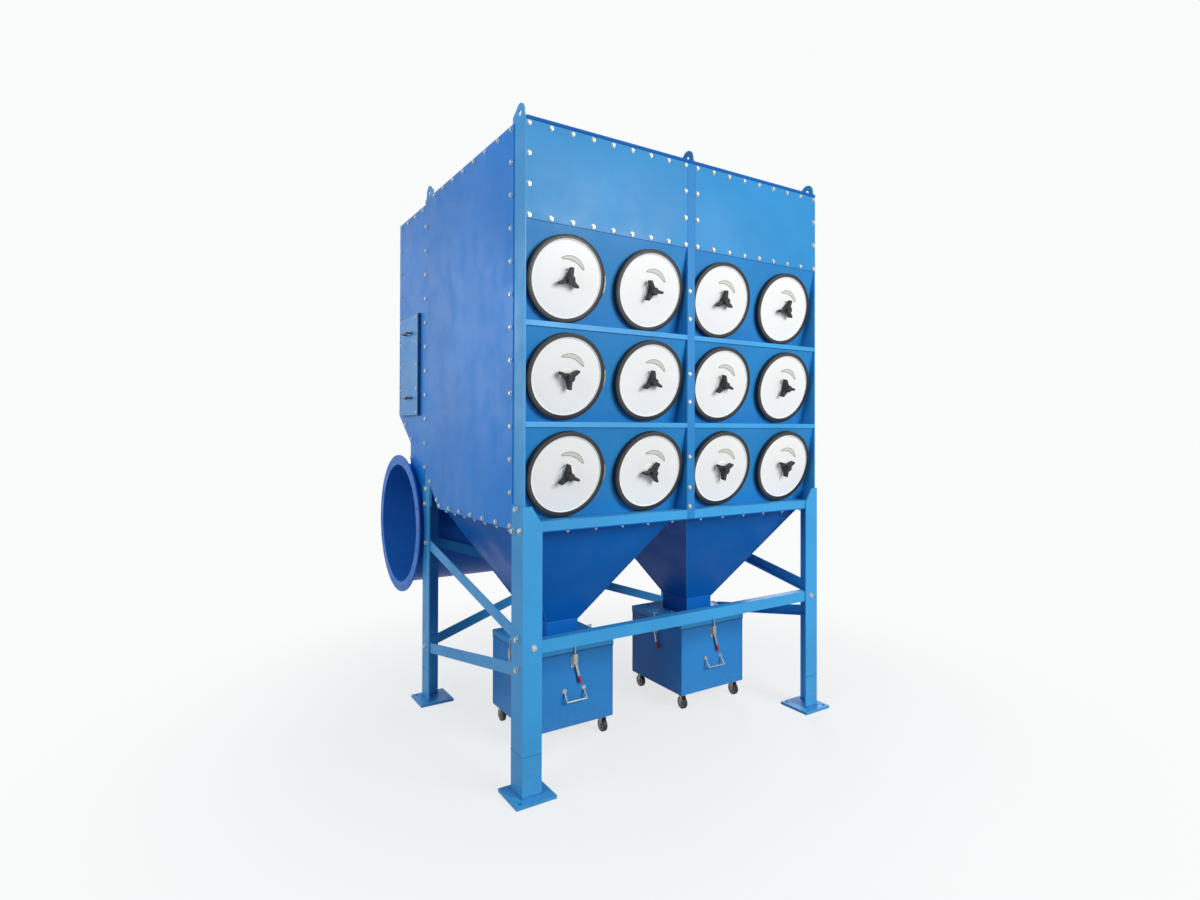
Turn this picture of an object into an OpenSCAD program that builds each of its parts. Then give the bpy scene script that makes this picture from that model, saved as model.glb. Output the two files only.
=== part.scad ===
// Pulse cartridge dust collector on legs: a two-bay sheet-steel box with three rows of round
// cartridge covers, a hopper and a wheeled dust bin under each bay, and a clean-air plenum
// with a round air duct across the back.
// X runs to the right along the front, Y to the back and Z up. The origin is at floor level,
// in the middle of the four legs' anchor holes.

/* [Overall] */
// Width over the outer faces of the corner legs
body_w = 2000; // [1900:10:2600]
// Depth over the outer faces of the corner legs
body_d = 1470; // [1350:10:2000]
// Height from the floor to the underside of the box
stand_h = 1235; // [1150:5:1600]
// Height of the box above its underside
box_h = 1940; // [1850:5:2500]

/* [Cartridge covers] */
// Height of the lowest row of covers above the underside of the box
first_row = 265; // [255:5:320]
// Distance between rows
row_pitch = 475; // [455:5:520]
// Outer diameter of a cover's rubber gasket
gasket_d = 427; // [380:1:440]
// Diameter of the steel cover disc
cover_d = 408; // [350:1:420]
// Diameter of the hole behind a cover
cover_hole_d = 324; // [300:1:380]
// Angle at which the cover plates lean out at the top
cover_tilt = 12.5; // [0:0.5:14]
// Depth of a cover plate's top edge behind the front
recess_top = 5; // [5:1:20]
// Height of the front lip of a shelf between rows
shelf_lip = 25; // [16:1:28]
// Height of the sill under the lowest row
sill_h = 46; // [40:1:50]

/* [Cover knobs] */
// Reach of a knob's arm, from its axis to its tip
knob_reach = 60; // [45:1:80]
// Radius of the round tip of an arm
knob_tip_r = 7; // [5:0.5:12]
// Radius of the knob's hub
knob_hub_r = 20; // [18:1:30]
// Height of the knob's hub
knob_h = 45; // [35:1:60]
// Diameter of the threaded stud that the knob turns on
stud_d = 16; // [12:1:20]
// Radial clearance between stud and knob
stud_clear = 0.06; // [0.02:0.01:0.1]

/* [Legs and braces] */
// Width of a leg's front or rear flange
leg_front_w = 100; // [80:1:140]
// Width of a leg's side flange
leg_side_w = 125; // [100:1:150]
// Thickness of a leg
leg_t = 8; // [6:1:12]
// Height of the leg's lap over the box
leg_lap = 120; // [90:5:125]
// Side of a square base plate
base_w = 205; // [180:1:240]
// Thickness of a base plate
base_t = 16; // [12:1:25]
// Overhang of a base plate past the leg's corner
base_over = 52; // [46:1:60]
// Diameter of an anchor hole
anchor_d = 22; // [14:1:24]
// Distance from an anchor hole to the base plate's edges
anchor_edge = 26; // [24:1:30]
// Width of a brace or rail
brace_w = 60; // [40:1:80]
// Thickness of a brace or rail
brace_t = 6; // [4:1:8]
// Height of the front rail's underside above the floor
rail_z = 665; // [640:5:760]

/* [Sheet metal] */
// Thickness of the panels
sheet_t = 4; // [3:0.5:6]
// Thickness of the posts and the lifting lugs
post_t = 6; // [5:0.5:10]
// Width of a corner post's side
post_side_w = 160; // [150:5:200]
// Width of the middle post
mid_post_w = 50; // [40:1:56]
// Depth over which the box's underside slopes up to the back
slope_run = 267; // [240:1:300]
// Rise of that slope
slope_rise = 225; // [200:1:260]

/* [Lifting lugs] */
// Height of a lug above the roof
lug_h = 76; // [70:1:100]
// Diameter of a lug's hole
lug_hole_d = 30; // [24:1:36]
// Radius of a lug's round top
lug_r = 46; // [36:1:54]
// Width of a lug where it leaves the roof
lug_w = 130; // [110:1:150]
// Height of a lug's upright rear edge
lug_rear_h = 34; // [10:1:44]

/* [Hoppers] */
// Width of a hopper's mouth
hopper_w = 900; // [800:10:940]
// Depth of a hopper's mouth
hopper_d = 1080; // [900:10:1120]
// Distance from the front of the box to the hopper's mouth
hopper_front = 102; // [60:1:140]
// Height of the sloping part
hopper_h = 595; // [540:5:640]
// Width of the square outlet
outlet_w = 200; // [160:5:260]
// Depth of the outlet
outlet_d = 250; // [200:5:300]
// Distance from the front of the legs to the outlet's axis
outlet_y = 660; // [600:5:700]
// Thickness of the flange under the box
hopper_flange_t = 6; // [5:1:10]

/* [Dust bins] */
// Width of a bin
bin_w = 500; // [420:5:560]
// Depth of a bin
bin_d = 522; // [440:2:560]
// Height of a bin's rim above the floor
bin_top = 495; // [450:5:560]
// Height of a bin's floor above the ground
bin_z = 95; // [90:1:120]
// Wall thickness of a bin
bin_t = 3; // [2:0.5:5]
// Width of the rim around a bin's mouth
rim_w = 4; // [3:1:20]
// Gap between the rim and the fixed lid
lid_gap = 5; // [5:0.5:8]
// Thickness of the fixed lid
lid_t = 6; // [4:1:8]
// Height of the lid's folded-down skirt
lid_skirt = 26; // [15:1:50]
// Diameter of a caster wheel
wheel_d = 75; // [60:1:80]
// Width of a caster wheel
wheel_w = 24; // [18:1:30]
// Diameter of a caster's axle
axle_d = 8; // [6:1:12]
// Radial clearance between axle and wheel
axle_clear = 0.06; // [0.02:0.01:0.1]
// Distance from a wheel's middle to the side of the bin
caster_inset = 40; // [32:1:60]

/* [Plenum and duct] */
// Depth of the plenum behind the legs
plenum_d = 565; // [500:5:700]
// Drop from the box's roof to the plenum's roof
plenum_drop = 25; // [20:1:60]
// Height of the plenum's vertical back wall
plenum_back_h = 1340; // [1200:5:1400]
// Depth over which the plenum's floor slopes in
plenum_slope_run = 271; // [220:1:300]
// Drop of the plenum's floor along its slope
plenum_slope_drop = 189; // [150:1:220]
// Inner diameter of the air duct
duct_d = 792; // [600:4:800]
// Wall thickness of the duct
duct_t = 4; // [3:0.5:6]
// Height of the duct's axis above the floor
duct_z = 1073; // [1050:1:1120]
// Clearance between the duct and the rear legs
duct_clear = 10; // [8:1:30]
// Outer diameter of the duct's flange
flange_d = 924; // [760:1:930]
// Diameter of the flange's bolt circle
flange_pcd = 866; // [700:1:880]
// Number of bolts in the flange
flange_bolts = 20; // [12:2:28]
// Diameter of the flange's bolt holes
flange_hole_d = 14; // [10:1:18]
// Thickness of the flange
flange_t = 8; // [6:1:12]
// Distance that the duct stands out past the legs
duct_over = 31; // [25:1:80]

/* [Access cover] */
// Width of the access cover
access_w = 375; // [300:5:420]
// Height of the access cover
access_h = 660; // [500:5:800]
// Height of the cover's middle above the underside of the box
access_z = 900; // [800:5:1000]
// Thickness of the cover's folded pan
access_t = 20; // [15:1:30]

/* [Hidden] */
$fn = 96;

// A cut's overshoot, so that no face is left in its mouth
cut = 1;
// Gap at which two pieces on one body lie against each other
seat = 0.3;

side_x = body_w / 2;
front_y = -body_d / 2;
rear_y = body_d / 2;
box_x = side_x - leg_t;
post_in_x = box_x - post_t;
box_front = front_y + leg_t;
box_rear = rear_y - leg_t;
box_z0 = stand_h;
box_z1 = stand_h + box_h;
leg_top = box_z0 + leg_lap;

// Rows and columns of covers
rows = 3;
columns = 4;
col_pitch = body_w / columns;
// Gap between the top row's cell and the upper panel
head_gap = 9.5;
// Depth of a cover plate behind the front at the middle of its cover
recess_d = recess_top + (row_pitch / 2 + head_gap) * tan(cover_tilt);
recess_y = box_front + recess_d;
// A cover plate's thickness, measured level
plate_y = sheet_t / cos(cover_tilt);
// Heights of the plates' lower edges from the middle of their covers
plate_z0 = -row_pitch / 2 + sheet_t / 2 + seat;
plate_sill_z0 = sill_h - first_row + seat;
upper_z0 = row_z(rows - 1) + row_pitch / 2 + head_gap;
post_gap = 2;
// Depth of the middle post, and where the lug on its web begins
mid_post_d = recess_d + row_pitch / 2 * tan(cover_tilt) + plate_y + 10;
mid_lug_y = box_front + post_t - 1;

// The slope at the back of the box's underside
slope_y0 = box_rear - post_t - seat - slope_run;
slope_t = sheet_t * norm([slope_run, slope_rise]) / slope_run;
slope_y1 = slope_y0 + slope_run;
slope_z1 = box_z0 + slope_rise;

// Bays
bay_x = body_w / 4;
hopper_y0 = box_front + hopper_front;
hopper_y1 = hopper_y0 + hopper_d;
hopper_z0 = box_z0 - hopper_flange_t - hopper_h;
drop_y = front_y + outlet_y;
lid_z = bin_top + lid_gap;
lid_top = lid_z + lid_skirt + lid_t;

// Plenum and duct
plenum_top = box_z1 - plenum_drop;
plenum_y1 = rear_y + plenum_d;
plenum_z1 = plenum_top - plenum_back_h;
neck_z = plenum_z1 - plenum_slope_drop;
neck_y1 = plenum_y1 - plenum_slope_run;
duct_r = duct_d / 2 + duct_t;
duct_y = rear_y + duct_clear + duct_r;
neck_y0 = duct_y - duct_r - sheet_t;
// Height above the duct's axis at which the neck's front plate ends against the duct
neck_lap = 7;
// Height above the duct's axis at which its wall is cut open under the neck
neck_open = 60;
duct_half = side_x + duct_over;
access_y = (box_rear + plenum_y1) / 2;

// Latch: a claw on the bin that reaches over the lid's edge
latch_w = 40;
latch_plate_t = 4;
latch_z0 = bin_top - 80;
latch_z1 = bin_top - 14;
// Length of the claw over the lid
claw_reach = 8;
claw_r = 4;
claw_gap = 5;
claw_stand = rim_w + claw_gap + claw_r;
claw_z = lid_top + claw_gap + claw_r;

// Bar handle on a bin
handle_w = 120;
handle_r = 5;
handle_out = 38;
handle_drop = 46;
handle_z = bin_z + 196;

// Latch lever
lever_w = 12;
lever_t = 8;
lever_h = 118;
// A bar's cross piece is this much thinner in radius than its ends
bar_step = 0.5;

function row_z(r) = box_z0 + first_row + r * row_pitch;
function col_x(c) = (c - (columns - 1) / 2) * col_pitch;
// Y of a cover plate's front face at a height z from the middle of its cover
function plate_face(z) = recess_y - z * tan(cover_tilt);

// Mirrors its children when asked
module flip(axis, on) {
    if (on) mirror(axis) children();
    else children();
}

// Places a corner piece, drawn with its outer corner at the origin and its body towards +X, +Y
module at_corner(sx, sy) {
    translate([sx * side_x, sy * rear_y, 0])
        flip([1, 0, 0], sx > 0)
            flip([0, 1, 0], sy > 0)
                children();
}

// Extrudes an outline drawn in Y and Z along X, from x0 over a length w
module along_x(x0, w) {
    translate([x0, 0, 0])
        rotate([90, 0, 90])
            linear_extrude(w) children();
}

// ---- Stand ----

module leg() {
    profile = [
        [0, 0], [leg_front_w, 0], [leg_front_w, leg_t],
        [leg_t, leg_t], [leg_t, leg_side_w], [0, leg_side_w]
    ];
    // The cut-off corner of the front flange
    notch_w = leg_front_w * 0.55;
    notch_h = leg_front_w * 0.88;
    far = base_w - base_over - anchor_edge;
    near = anchor_edge - base_over;
    difference() {
        union() {
            linear_extrude(leg_top) polygon(profile);
            translate([-base_over, -base_over, 0]) cube([base_w, base_w, base_t]);
        }
        translate([leg_front_w - notch_w, leg_t + cut, leg_top])
            rotate([90, 0, 0])
                linear_extrude(leg_t + 2 * cut)
                    polygon([
                        [0, cut], [0, 0], [notch_w, -notch_h],
                        [notch_w + cut, -notch_h], [notch_w + cut, cut]
                    ]);
        for (p = [near, far])
            translate([p, p, -cut]) cylinder(d = anchor_d, h = base_t + 2 * cut);
    }
}

module front_tie_rail() {
    half = box_x - brace_t - 2;
    color("#3487cc")
        translate([-half, box_front, rail_z]) {
            cube([2 * half, brace_t, brace_w]);
            translate([0, 0, brace_w - brace_t]) cube([2 * half, brace_w - 10, brace_t]);
        }
}

// Angle bar from [y, z] point a to b, inside the side flange of the legs at the left
module side_brace(a, b) {
    d = b - a;
    ledge_w = brace_w * 0.6;
    translate([-box_x, a[0], a[1]])
        rotate([atan2(d[1], d[0]), 0, 0])
            translate([0, -brace_w / 2, -brace_w / 2]) {
                cube([brace_t, norm(d) + brace_w, brace_w]);
                cube([ledge_w, norm(d) + brace_w, brace_t]);
            }
}

module side_braces() {
    y0 = front_y + leg_t + brace_w * 1.15;
    y1 = rear_y - leg_side_w / 2;
    // Heights of the upper brace's ends over the rail and under the box
    upper_foot = 75;
    upper_head = 236;
    // Heights of the lower brace's ends under the rail
    lower_head = 80;
    lower_foot = 326;
    color("#2a74b8")
        for (right = [false, true])
            flip([1, 0, 0], right) {
                side_brace([y0, rail_z + upper_foot], [y1, box_z0 - upper_head]);
                side_brace([y0, rail_z - lower_head], [y1, rail_z - lower_foot]);
            }
}

// Two flat bars that cross in the middle, one behind the other
module rear_cross_braces() {
    x1 = side_x - leg_front_w / 2;
    low = rail_z - 310;
    high = box_z0 - 235;
    d = [2 * x1, high - low];
    end_trim = 8;
    color("#1e4f8c")
        for (back = [0, 1])
            flip([1, 0, 0], back == 1)
                translate([-x1, box_rear - (2 - back) * brace_t - (1 - back) * seat, low])
                    rotate([0, -atan2(d[1], d[0]), 0])
                        translate([-brace_w / 2 + end_trim, 0, -brace_w / 2])
                            cube([norm(d) + brace_w - 2 * end_trim, brace_t, brace_w]);
}

// ---- Box frame ----

// Lug outline over a flat top at z = 0, reaching down by root, with its hole
module lug_outline(root) {
    // Distance from the lug's front corner to its round top
    nose = 8;
    c = [lug_r + nose, lug_h - lug_r];
    // The straight edges run into the round top this far from its centre, at these angles
    shoulder = 0.93 * lug_r;
    rear_angle = 65;
    front_angle = 172;
    difference() {
        union() {
            translate(c) circle(r = lug_r);
            polygon([
                [0, -root], [lug_w, -root], [lug_w, lug_rear_h],
                c + shoulder * [cos(rear_angle), sin(rear_angle)], c,
                c + shoulder * [cos(front_angle), sin(front_angle)], [0, 0]
            ]);
        }
        translate(c) circle(d = lug_hole_d);
    }
}

// Corner post of the box with its lifting lug; a front post has a short flange behind the
// upper panel and a rear post a full one
module corner_post(front) {
    flange_z0 = front ? upper_z0 : box_z0;
    front_flange_w = 40;
    lug_setback = 8;
    flange_w = front ? front_flange_w : leg_front_w;
    flange_y = leg_t + (front ? sheet_t + seat : 0);
    translate([leg_t, leg_t, box_z0]) cube([post_t, front ? post_side_w : leg_side_w, box_h]);
    translate([leg_t, flange_y, flange_z0])
        cube([flange_w, post_t, box_z1 - sheet_t - flange_z0 - seat]);
    translate([0, leg_t + lug_setback, box_z1]) along_x(leg_t, post_t) lug_outline(root = 20);
}

module post_middle() {
    depth = mid_post_d;
    wing = 35;
    top = box_z1 - sheet_t - seat;
    color("#3f92d4") {
        difference() {
            translate([-mid_post_w / 2, box_front, box_z0])
                cube([mid_post_w, depth, top - box_z0]);
            translate([-mid_post_w / 2 + post_t, box_front + post_t, box_z0 - cut])
                cube([mid_post_w - 2 * post_t, depth, top - box_z0 + 2 * cut]);
        }
        for (s = [-1, 1])
            translate([s * (mid_post_w + wing) / 2 - wing / 2, box_front + sheet_t + seat, upper_z0])
                cube([wing, post_t, top - upper_z0]);
        translate([0, mid_lug_y, box_z1])
            along_x(mid_post_w / 2 - post_t, post_t) lug_outline(root = 120);
    }
}

module side_panel() {
    y0 = front_y + leg_side_w + 2;
    z1 = box_z1 - seat;
    along_x(-box_x - sheet_t, sheet_t)
        polygon([[y0, box_z0], [slope_y0, box_z0], [slope_y1, slope_z1], [slope_y1, z1], [y0, z1]]);
}

// Flat roofs of box and plenum, with a lip along the front and the step between them
module roof() {
    over = 6;
    lip = 14;
    half = post_in_x - seat;
    slot_gap = 1;
    color("#2f7dc2") {
        difference() {
            union() {
                translate([-half, box_front - over, box_z1 - sheet_t])
                    cube([2 * half, box_rear - box_front + over, sheet_t]);
                translate([-half, box_front - over, box_z1 - lip]) cube([2 * half, over - 2, lip]);
                translate([-half, box_rear - sheet_t, plenum_top - sheet_t])
                    cube([2 * half, sheet_t, plenum_drop + sheet_t]);
            }
            translate([mid_post_w / 2 - post_t - slot_gap, mid_lug_y - slot_gap, box_z1 - lip - cut])
                cube([post_t + 2 * slot_gap, lug_w + 2 * slot_gap, lip + 2 * cut]);
            for (right = [false, true])
                flip([1, 0, 0], right)
                    translate([-box_x, box_rear - post_t - 1, plenum_top - sheet_t - cut])
                        cube([leg_front_w + 1, post_t + 2, plenum_drop + cut]);
        }
        translate([0, box_rear - 8, box_z1])
            flip([0, 1, 0], true)
                along_x(-post_t / 2, post_t) lug_outline(root = 0);
        translate([-box_x, box_rear + seat, plenum_top - sheet_t])
            cube([2 * box_x, plenum_y1 - box_rear + over, sheet_t]);
    }
}

// ---- Front ----

module upper_panel() {
    x0 = -post_in_x + seat;
    x1 = -mid_post_w / 2 - post_gap;
    translate([x0, box_front, upper_z0])
        cube([x1 - x0, sheet_t, box_z1 - sheet_t - seat - upper_z0]);
}

// One plate for each row, leaning out at the top, with a hole behind each cover
module cover_plate() {
    x0 = -post_in_x;
    x1 = -mid_post_w / 2 - seat;
    for (r = [0:rows - 1]) {
        z0 = r == 0 ? plate_sill_z0 : plate_z0;
        z1 = r == rows - 1 ? row_pitch / 2 + head_gap - seat : -plate_z0;
        difference() {
            translate([0, 0, row_z(r)])
                along_x(x0, x1 - x0)
                    polygon([
                        [plate_face(z0), z0], [plate_face(z0) + plate_y, z0],
                        [plate_face(z1) + plate_y, z1], [plate_face(z1), z1]
                    ]);
            for (c = [0, 1])
                at_cover(r, c)
                    translate([0, 0, -sheet_t - cut]) cylinder(d = cover_hole_d, h = sheet_t + 2 * cut);
        }
    }
}

module shelf_rails() {
    x0 = -post_in_x + seat;
    x1 = -mid_post_w / 2 - seat;
    shelf_d = plate_face(plate_z0) + plate_y - box_front;
    color("#4d9edb")
        for (right = [false, true], r = [1:rows - 1])
            flip([1, 0, 0], right)
                translate([x0, box_front, row_z(r) - row_pitch / 2]) {
                    translate([0, 0, -shelf_lip / 2]) cube([x1 - x0, sheet_t, shelf_lip]);
                    translate([0, sheet_t, -sheet_t / 2]) cube([x1 - x0, shelf_d - sheet_t, sheet_t]);
                }
}

module sill() {
    x0 = -post_in_x + seat;
    x1 = -mid_post_w / 2 - seat;
    ledge_d = plate_face(plate_sill_z0) + plate_y - box_front;
    color("#4d9edb")
        for (right = [false, true])
            flip([1, 0, 0], right)
                translate([x0, box_front, box_z0]) {
                    cube([x1 - x0, sheet_t, sill_h]);
                    translate([0, sheet_t, sill_h - sheet_t])
                        cube([x1 - x0, ledge_d - sheet_t, sheet_t]);
                }
}

// ---- Cartridge covers ----

// Places a turned piece at each cover, with its axis square to the leaning plate it is seated on
module at_cover(r, c) {
    translate([col_x(c), recess_y, row_z(r)]) rotate([90 + cover_tilt, 0, 0]) children();
}

// Gap between a cover's rubber ring and its plate
ring_seat = 0.05;
gasket_h = 30;
ledge_h = 18;
disc_t = 6;
boss_h = 6;
boss_r = 36;
knob_z = ledge_h + disc_t + boss_h + 1;
stud_top = knob_z + knob_h - 8;

module cover_gaskets() {
    inner = cover_hole_d / 2;
    mouth = cover_d / 2 + seat;
    color("#16181b")
        for (r = [0:rows - 1], c = [0:columns - 1])
            at_cover(r, c) rotate_extrude()
                polygon([
                    [inner, ring_seat], [gasket_d / 2, ring_seat], [gasket_d / 2, gasket_h],
                    [mouth, gasket_h], [mouth, ledge_h], [inner, ledge_h]
                ]);
}

// Steel disc with a raised rim, a boss and the stud
module cartridge_covers() {
    rim_w_in = 14;
    top = ledge_h + disc_t;
    rim_top = gasket_h - 1;
    color("#f2f3f2")
        for (r = [0:rows - 1], c = [0:columns - 1])
            at_cover(r, c) rotate_extrude()
                polygon([
                    [0, ledge_h], [cover_d / 2, ledge_h], [cover_d / 2, rim_top],
                    [cover_d / 2 - rim_w_in, rim_top], [cover_d / 2 - rim_w_in - 5, top],
                    [boss_r + 5, top], [boss_r, top + boss_h], [stud_d / 2, top + boss_h],
                    [stud_d / 2, stud_top - 2], [stud_d / 2 - 2, stud_top], [0, stud_top]
                ]);
}

// Angle that each knob was left at, row by row from the bottom
knob_turn = [[9, 93, 63, 63], [67, 7, 14, 27], [114, 28, 1, 104]];

module knob(r, c) {
    arm_z = 7;
    arm_h = 28;
    // Half the width of an arm at the hub's axis
    arm_root = knob_hub_r * 0.65;
    color("#1b1c1e")
        at_cover(r, c) translate([0, 0, knob_z]) rotate([0, 0, 90 + knob_turn[r][c]])
            difference() {
                union() {
                    cylinder(r = knob_hub_r, h = knob_h);
                    for (a = [0, 120, 240])
                        rotate([0, 0, a]) translate([0, 0, arm_z]) {
                            translate([knob_reach - knob_tip_r, 0, 0]) cylinder(r = knob_tip_r, h = arm_h);
                            linear_extrude(arm_h)
                                polygon([
                                    [0, -arm_root], [knob_reach - knob_tip_r, -knob_tip_r],
                                    [knob_reach - knob_tip_r, knob_tip_r], [0, arm_root]
                                ]);
                        }
                }
                translate([0, 0, -cut])
                    cylinder(d = stud_d + 2 * stud_clear, h = knob_h - 5 + cut);
            }
}

// ---- Underside and hoppers ----

module bottom_frame() {
    edge = 20;
    color("#24619f")
        difference() {
            translate([-post_in_x, box_front + sheet_t, box_z0])
                cube([2 * post_in_x, slope_y0 - seat - box_front - sheet_t, sheet_t]);
            for (s = [-1, 1])
                translate([s * bay_x - hopper_w / 2, hopper_y0, box_z0 - cut])
                    cube([hopper_w, hopper_d - edge, sheet_t + 2 * cut]);
            translate([-mid_post_w / 2 - seat, box_front, box_z0 - cut])
                cube([mid_post_w + 2 * seat, mid_post_d + seat, sheet_t + 2 * cut]);
        }
}

module rear_slope_panel() {
    half = post_in_x - seat;
    return_h = 40;
    color("#24619f") {
        along_x(-half, 2 * half)
            polygon([
                [slope_y0, box_z0], [slope_y1, slope_z1], [slope_y1, slope_z1 + return_h],
                [slope_y1 - sheet_t, slope_z1 + return_h], [slope_y1 - sheet_t, slope_z1 + slope_t],
                [slope_y0, box_z0 + slope_t]
            ]);
        // Strip that fills the space between the rear posts' flanges
        translate([-box_x + leg_front_w + 1, slope_y1 - cut, slope_z1])
            cube([2 * (box_x - leg_front_w - 1), post_t + seat + cut, return_h]);
    }
}

// Solid of a hopper with its walls pulled in by t
module hopper_form(t, z0, z1) {
    x1 = hopper_w / 2 - t;
    x0 = outlet_w / 2 - t;
    y0 = drop_y - outlet_d / 2 + t;
    y1 = drop_y + outlet_d / 2 - t;
    low = [[-x0, y0, z0], [x0, y0, z0], [x0, y1, z0], [-x0, y1, z0]];
    high = [
        [-x1, hopper_y0 + t, z1], [x1, hopper_y0 + t, z1],
        [x1, hopper_y1 - t, z1], [-x1, hopper_y1 - t, z1]
    ];
    polyhedron(
        points = concat(low, high),
        faces = [[0, 1, 2, 3], [7, 6, 5, 4], [0, 4, 5, 1], [1, 5, 6, 2], [2, 6, 7, 3], [3, 7, 4, 0]]
    );
}

// One welded piece: flange under the box, sloping walls and the square outlet
module hopper(s) {
    flange_w = side_x - leg_t - sheet_t;
    top = box_z0 - hopper_flange_t;
    y0 = box_front + 2;
    wall = sheet_t;
    color("#2b6db3")
        difference() {
            union() {
                translate([s * bay_x, 0, 0]) hopper_form(0, hopper_z0, top);
                translate([s * bay_x - outlet_w / 2, drop_y - outlet_d / 2, lid_top])
                    cube([outlet_w, outlet_d, hopper_z0 - lid_top]);
                translate([s > 0 ? 1 : -flange_w, y0, top])
                    cube([flange_w - 1, slope_y0 - y0, hopper_flange_t]);
            }
            translate([s * bay_x, 0, 0]) hopper_form(wall, hopper_z0 - cut, top + cut);
            translate([s * bay_x - outlet_w / 2 + wall, drop_y - outlet_d / 2 + wall, lid_z])
                cube([outlet_w - 2 * wall, outlet_d - 2 * wall, hopper_z0 - lid_z]);
            translate([s * bay_x - hopper_w / 2 + wall, hopper_y0 + wall, top - cut])
                cube([hopper_w - 2 * wall, hopper_d - 2 * wall, hopper_flange_t + 2 * cut]);
        }
}

// ---- Dust bins ----

// Fixed lids with folded-down skirts that hang from the hopper outlets
module bin_lids() {
    w = bin_w + 2 * rim_w;
    d = bin_d + 2 * rim_w;
    color("#2f7dc2")
        for (s = [-1, 1])
            translate([s * bay_x, drop_y, lid_z])
                difference() {
                    translate([-w / 2, -d / 2, 0]) cube([w, d, lid_skirt + lid_t]);
                    translate([-w / 2 + lid_t, -d / 2 + lid_t, -cut])
                        cube([w - 2 * lid_t, d - 2 * lid_t, lid_skirt + cut]);
                    translate([-outlet_w / 2 + sheet_t, -outlet_d / 2 + sheet_t, -cut])
                        cube([outlet_w - 2 * sheet_t, outlet_d - 2 * sheet_t, lid_top - lid_z + 2 * cut]);
                }
}

module bin(s) {
    rim_t = 4;
    color("#2f86cc")
        translate([s * bay_x, drop_y, bin_z])
            difference() {
                union() {
                    translate([-bin_w / 2, -bin_d / 2, 0]) cube([bin_w, bin_d, bin_top - bin_z]);
                    translate([-bin_w / 2 - rim_w, -bin_d / 2 - rim_w, bin_top - bin_z - rim_t])
                        cube([bin_w + 2 * rim_w, bin_d + 2 * rim_w, rim_t]);
                }
                translate([-bin_w / 2 + bin_t, -bin_d / 2 + bin_t, bin_t])
                    cube([bin_w - 2 * bin_t, bin_d - 2 * bin_t, bin_top - bin_z]);
            }
}

// Toggle latch drawn against a wall at y = 0 that faces -Y: base, body, claw and lever
module latch() {
    case_w = 26;
    case_z = latch_z0 + 20;
    case_h = 52;
    rod_z = latch_z0 + 40;
    lever_z = latch_z0 + 30;
    lever_tilt = 16;
    translate([-latch_w / 2, -latch_plate_t, latch_z0])
        cube([latch_w, latch_plate_t, latch_z1 - latch_z0]);
    translate([-case_w / 2, -claw_stand - claw_r - 1, case_z])
        cube([case_w, claw_stand + claw_r + 1, case_h]);
    translate([0, -claw_stand, rod_z]) cylinder(r = claw_r, h = claw_z + claw_r - rod_z, $fn = 32);
    translate([0, -claw_stand, claw_z])
        rotate([-90, 0, 0]) cylinder(r = claw_r - bar_step, h = claw_stand + claw_reach, $fn = 32);
    translate([0, -claw_stand, lever_z])
        rotate([0, -lever_tilt, 0])
            translate([-lever_w / 2, -lever_t / 2, -lever_h]) cube([lever_w, lever_t, lever_h]);
}

// Round bar bent to a U that hangs from a wall at x = 0 facing -X, with its ends along Y
module bail(w, out, drop, r) {
    reach = norm([out, drop]);
    for (y = [-w / 2, w / 2])
        translate([0, y, 0])
            rotate([0, -90 - atan2(drop, out), 0])
                translate([0, 0, -r]) cylinder(r = r, h = reach + 2 * r, $fn = 32);
    translate([-out, -w / 2, -drop]) rotate([-90, 0, 0]) cylinder(r = r - bar_step, h = w, $fn = 32);
}

// Latches at the front and both sides of a bin, and its handle
module bin_fittings(s) {
    washer_r = 14;
    washer_t = 3;
    color("#c9ccc8")
        translate([s * bay_x, drop_y, 0]) {
            translate([0, -bin_d / 2, 0]) latch();
            difference() {
                translate([0, -bin_d / 2, handle_z]) {
                    rotate([0, 0, 90]) bail(handle_w, handle_out, handle_drop, handle_r);
                    for (x = [-handle_w / 2, handle_w / 2])
                        translate([x, 0, 0]) rotate([90, 0, 0]) cylinder(r = washer_r, h = washer_t);
                }
                translate([-handle_w, -bin_d / 2, handle_z - handle_w / 2])
                    cube([2 * handle_w, handle_w, handle_w]);
            }
            for (a = [90, 270])
                rotate([0, 0, a]) translate([0, -bin_w / 2, 0]) latch();
        }
}

caster_x = bin_w / 2 - caster_inset;
caster_y = bin_d / 2 - caster_inset;

// Fork with its axle, drawn under a bin with the wheel's middle at x = 0, y = 0
module caster() {
    cheek_t = 3;
    cheek_w = 26;
    side_gap = 1.5;
    half = wheel_w / 2 + side_gap;
    axle_z = wheel_d / 2;
    plate_t = 5;
    plate_w = 60;
    plate_d = 52;
    for (sx = [-1, 1])
        translate([sx * (half + cheek_t / 2), 0, 0]) {
            translate([-cheek_t / 2, -cheek_w / 2, axle_z])
                cube([cheek_t, cheek_w, bin_z - plate_t - axle_z]);
            translate([-cheek_t / 2, 0, axle_z]) rotate([0, 90, 0]) cylinder(d = cheek_w, h = cheek_t);
        }
    translate([-half - cheek_t, 0, axle_z]) rotate([0, 90, 0]) cylinder(d = axle_d, h = 2 * (half + cheek_t));
    translate([-plate_w / 2, -plate_d / 2, bin_z - plate_t]) cube([plate_w, plate_d, plate_t]);
}

module casters(s) {
    color("#8f9498")
        translate([s * bay_x, drop_y, 0])
            for (sx = [-1, 1], sy = [-1, 1])
                translate([sx * caster_x, sy * caster_y, 0]) caster();
}

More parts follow.
